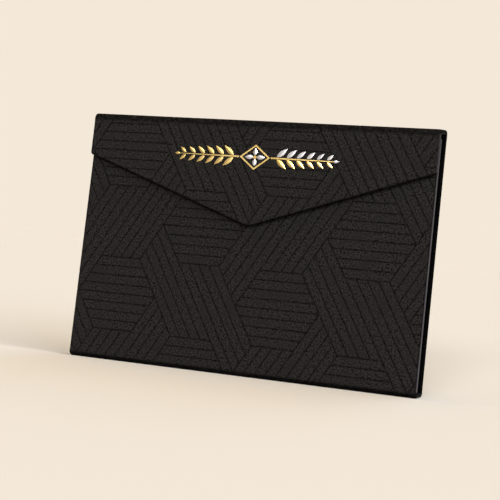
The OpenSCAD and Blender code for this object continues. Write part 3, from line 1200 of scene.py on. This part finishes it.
# Light on the level floor, and its lamps: name, direction, share of that light in red,
# green and blue, and the angle that the lamp spans
LIGHT = np.array((1.08, 1.0, 0.92))
LAMPS = [
    ("front", (0.0, -0.951, 0.309), (0.118, 0.126, 0.141), 16),
    ("side", (0.672, -0.672, 0.309), (0.085, 0.105, 0.142), 26),
    ("right", (0.814, -0.296, 0.500), (0.178, 0.194, 0.207), 30),
    ("back", (0.287, 0.497, 0.819), (0.083, 0.143, 0.220), 36),
    ("top", (0.0, 0.0, 1.0), (0.293, 0.209, 0.085), 50),
]
# The rest comes from all round, more of it from the front.
FILL_SHARES = 1 - np.sum([shares for _, _, shares, _ in LAMPS], axis=0)
FILL_LEAN = (0.0, -0.625, 0.0)
# Share of that lean that reaches a surface from the half of the sky before it
LEAN_SHARE = 2 / 3
# The floor is level under the case, falls a little before it and rises a little behind.
FLOOR_FRONT, FLOOR_BACK = math.tan(math.radians(10)), math.tan(math.radians(5))
FLOOR_BEND = 10.0
FLOOR_STEPS = (0, 1, 2, 3, 5, 7, 10, 14, 20, 28, 40, 60, 100, 200, 500, 1500, 3000)
FLOOR_HALF_W = 3000


def add_camera():
    data = bpy.data.cameras.new("camera")
    data.lens = CAMERA_LENS
    data.clip_start, data.clip_end = CAMERA_CLIP
    cam = add_object("camera", data)
    turn = Matrix((CAMERA_RIGHT, CAMERA_UP, CAMERA_BACK)).transposed().to_4x4()
    cam.matrix_world = Matrix.Translation(Vector(CAMERA_PLACE) * MM) @ turn
    bpy.context.scene.camera = cam


def floor_profile(y):
    """Height and slope of the floor at a place from front to back."""
    front, back = max(0.0, FRONT_Y - y), max(0.0, y - BACK_Y)
    reach_front, reach_back = math.hypot(front, FLOOR_BEND), math.hypot(back, FLOOR_BEND)
    height = FLOOR_BACK * (reach_back - FLOOR_BEND) - FLOOR_FRONT * (reach_front - FLOOR_BEND)
    return height, FLOOR_BACK * back / reach_back + FLOOR_FRONT * front / reach_front


def floor_tone(rise):
    """Floor colour that comes out as bright as the backdrop where nothing shades it."""
    normal = Vector((0, -rise, 1)).normalized()
    light = FILL_SHARES * (1 + normal.dot(Vector(FILL_LEAN)) * LEAN_SHARE)
    for _, toward, shares, _ in LAMPS:
        toward = Vector(toward).normalized()
        light = light + np.array(shares) * max(0.0, normal.dot(toward)) / toward.z
    return CREAM / (light * LIGHT)


def add_floor():
    places = sorted({FRONT_Y - d for d in FLOOR_STEPS} | {BACK_Y + d for d in FLOOR_STEPS})
    profile = [(y, *floor_profile(y)) for y in places]
    width = (-FLOOR_HALF_W, FLOOR_HALF_W)
    points = [(x * MM, y * MM, z * MM) for y, z, _ in profile for x in width]
    faces = [(k, k + 1, k + 3, k + 2) for k in range(0, len(points) - 2, 2)]
    floor = add_mesh("floor", points, faces)
    tones = [(*floor_tone(rise), 1.0) for _, _, rise in profile for _ in width]
    tone = floor.data.attributes.new("tone", "FLOAT_COLOR", "POINT")
    tone.data.foreach_set("color", np.array(tones, np.float32).ravel())
    floor.data.shade_smooth()
    mat, tree, shader = new_material("pale_floor")
    tree.links.new(read_attribute(tree, "tone", "Color"), shader.inputs["Base Color"])
    fix(shader, "Roughness", 1)
    fix(shader, "Specular IOR Level", 0)
    paint(floor, mat)


def add_lamps():
    for name, toward, shares, angle in LAMPS:
        toward = Vector(toward).normalized()
        colour = np.array(shares) * LIGHT
        data = bpy.data.lights.new(name, "SUN")
        data.energy = colour.max() / toward.z * math.pi
        data.color = colour / colour.max()
        data.angle = math.radians(angle)
        lamp = add_object(name, data)
        lamp.rotation_euler = toward.to_track_quat("Z", "Y").to_euler()


def add_backdrop():
    """Even cream behind everything, with the soft light from all round."""
    world = bpy.data.worlds.new("studio")
    bpy.context.scene.world = world
    world.use_nodes = True
    tree = world.node_tree
    backdrop = tree.nodes["Background"]
    fix(backdrop, "Color", (*CREAM, 1))
    fill = tree.nodes.new("ShaderNodeBackground")
    fix(fill, "Color", (*(FILL_SHARES * LIGHT), 1))
    lean = tree.nodes.new("ShaderNodeVectorMath")
    lean.operation = "DOT_PRODUCT"
    fix(lean, 1, FILL_LEAN)
    toward = tree.nodes.new("ShaderNodeTexCoord")
    tree.links.new(toward.outputs["Generated"], lean.inputs[0])
    level = calc(tree, "ADD", lean.outputs["Value"], 1.0)
    tree.links.new(level, fill.inputs["Strength"])
    path = tree.nodes.new("ShaderNodeLightPath")
    mix = tree.nodes.new("ShaderNodeMixShader")
    tree.links.new(path.outputs["Is Camera Ray"], mix.inputs["Fac"])
    tree.links.new(fill.outputs["Background"], mix.inputs[1])
    tree.links.new(backdrop.outputs["Background"], mix.inputs[2])
    tree.links.new(mix.outputs["Shader"], tree.nodes["World Output"].inputs["Surface"])


add_camera()
add_floor()
add_lamps()
add_backdrop()
bpy.context.scene.view_settings.view_transform = "Standard"
